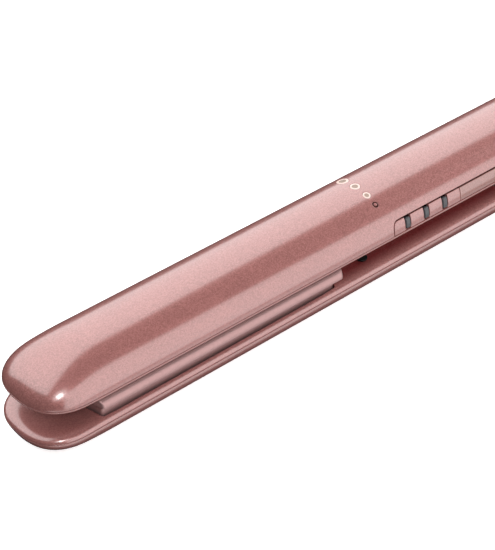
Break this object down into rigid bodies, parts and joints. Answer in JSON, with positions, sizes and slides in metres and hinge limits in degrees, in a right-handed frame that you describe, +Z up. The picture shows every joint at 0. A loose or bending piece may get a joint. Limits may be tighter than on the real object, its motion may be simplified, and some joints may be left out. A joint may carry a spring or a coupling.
{
  "type": "flat iron",
  "caption": "Slim hair-straightening iron: hinged domed arms with floating rounded heating plates, side push buttons, ring lights and a swivel cord outlet.",
  "frame": {"origin": "centre of the footprint, on the surface that the lower arm lies on", "axes": "+X along the arms from the tips to the hinge and the cord outlet, +Y to the side away from the buttons, +Z up from the lower arm to the upper arm"},
  "size_m": [0.29, 0.0346, 0.038],
  "materials": {
    "rose_gold_paint": "glossy rose-gold metallic paint with a fine sparkle, on moulded plastic",
    "plate_coating": "satin rose ceramic coating on aluminium",
    "side_trim": "glossy rose-brown metallic",
    "button_grey": "smooth grey plastic",
    "light_lens": "clear light guide, lit warm white",
    "black_rubber": "soft black rubber",
    "black_plastic": "black nylon",
    "screw_steel": "zinc-plated steel",
    "sensor_brass": "plain brass",
    "heater_ceramic": "matte ceramic",
    "silicone": "heat-resistant silicone",
    "circuit_board": "green solder mask",
    "lead_insulation": "red silicone insulation",
    "led_body": "white LED body"
  },
  "bodies": {
    "lower_arm": {"lower_cover": "rose_gold_paint", "lower_inner_shell": "rose_gold_paint", "lower_screw_1": "screw_steel", "lower_screw_2": "screw_steel", "lower_screw_3": "screw_steel", "lower_float_pad_front": "silicone", "lower_float_pad_rear": "silicone", "lower_heater_lead_a": "lead_insulation", "lower_heater_lead_b": "lead_insulation", "stop_pad_near": "black_rubber", "stop_pad_far": "black_rubber", "power_board": "circuit_board", "triac": "black_plastic", "terminal_block": "black_plastic", "hinge_pin": "screw_steel", "hinge_spring": "screw_steel", "swivel_collar": "black_plastic"},
    "upper_arm": {"upper_cover": "rose_gold_paint", "upper_inner_shell": "rose_gold_paint", "upper_screw_1": "screw_steel", "upper_screw_2": "screw_steel", "upper_screw_3": "screw_steel", "upper_float_pad_front": "silicone", "upper_float_pad_rear": "silicone", "upper_heater_lead_a": "lead_insulation", "upper_heater_lead_b": "lead_insulation", "button_panel": "rose_gold_paint", "side_trim_rear": "side_trim", "control_board": "circuit_board", "tact_switch_down": "black_plastic", "tact_switch_power": "black_plastic", "tact_switch_up": "black_plastic", "ring_lens_1": "light_lens", "ring_lens_2": "light_lens", "ring_lens_3": "light_lens", "ring_lens_4": "light_lens", "ring_led_1": "led_body", "ring_led_2": "led_body", "ring_led_3": "led_body", "ring_led_4": "led_body"},
    "lower_plate_assembly": {"lower_plate": "plate_coating", "lower_heater": "heater_ceramic", "lower_heater_clamp": "screw_steel", "lower_plate_retainer_front": "black_plastic", "lower_plate_retainer_rear": "black_plastic", "thermal_fuse": "screw_steel"},
    "upper_plate_assembly": {"upper_plate": "plate_coating", "upper_heater": "heater_ceramic", "upper_heater_clamp": "screw_steel", "upper_plate_retainer_front": "black_plastic", "upper_plate_retainer_rear": "black_plastic", "thermistor": "sensor_brass"},
    "down_button": {"button_down": "button_grey"},
    "power_button": {"button_power": "button_grey"},
    "up_button": {"button_up": "button_grey"},
    "cord_swivel": {"swivel_gland": "black_plastic", "swivel_clip": "screw_steel"}
  },
  "joints": [
    {"name": "arm_hinge", "type": "hinge", "parent": "lower_arm", "child": "upper_arm", "pos_m": [0.123, 0, 0.0178], "axis": [0, 1, 0], "range_deg": [-0.43, 25], "stiffness_Nm_per_rad": 1.2, "springref_deg": 7.35},
    {"name": "lower_plate_float", "type": "slide", "parent": "lower_arm", "child": "lower_plate_assembly", "axis": [0, 0, -1], "range_m": [0, 0.0005], "stiffness_N_per_m": 2000, "springref_m": -0.002},
    {"name": "upper_plate_float", "type": "slide", "parent": "upper_arm", "child": "upper_plate_assembly", "axis": [0.0075, 0, 1], "range_m": [0, 0.0005], "stiffness_N_per_m": 2000, "springref_m": -0.002},
    {"name": "down_button_press", "type": "slide", "parent": "upper_arm", "child": "down_button", "axis": [0, 1, 0], "range_m": [0, 0.0004], "stiffness_N_per_m": 400, "springref_m": -0.001},
    {"name": "power_button_press", "type": "slide", "parent": "upper_arm", "child": "power_button", "axis": [0, 1, 0], "range_m": [0, 0.0004], "stiffness_N_per_m": 400, "springref_m": -0.001},
    {"name": "up_button_press", "type": "slide", "parent": "upper_arm", "child": "up_button", "axis": [0, 1, 0], "range_m": [0, 0.0004], "stiffness_N_per_m": 400, "springref_m": -0.001},
    {"name": "cord_swivel_turn", "type": "hinge", "parent": "lower_arm", "child": "cord_swivel", "pos_m": [0.145, 0, 0.0066], "axis": [1, 0, 0], "continuous": true}
  ]
}
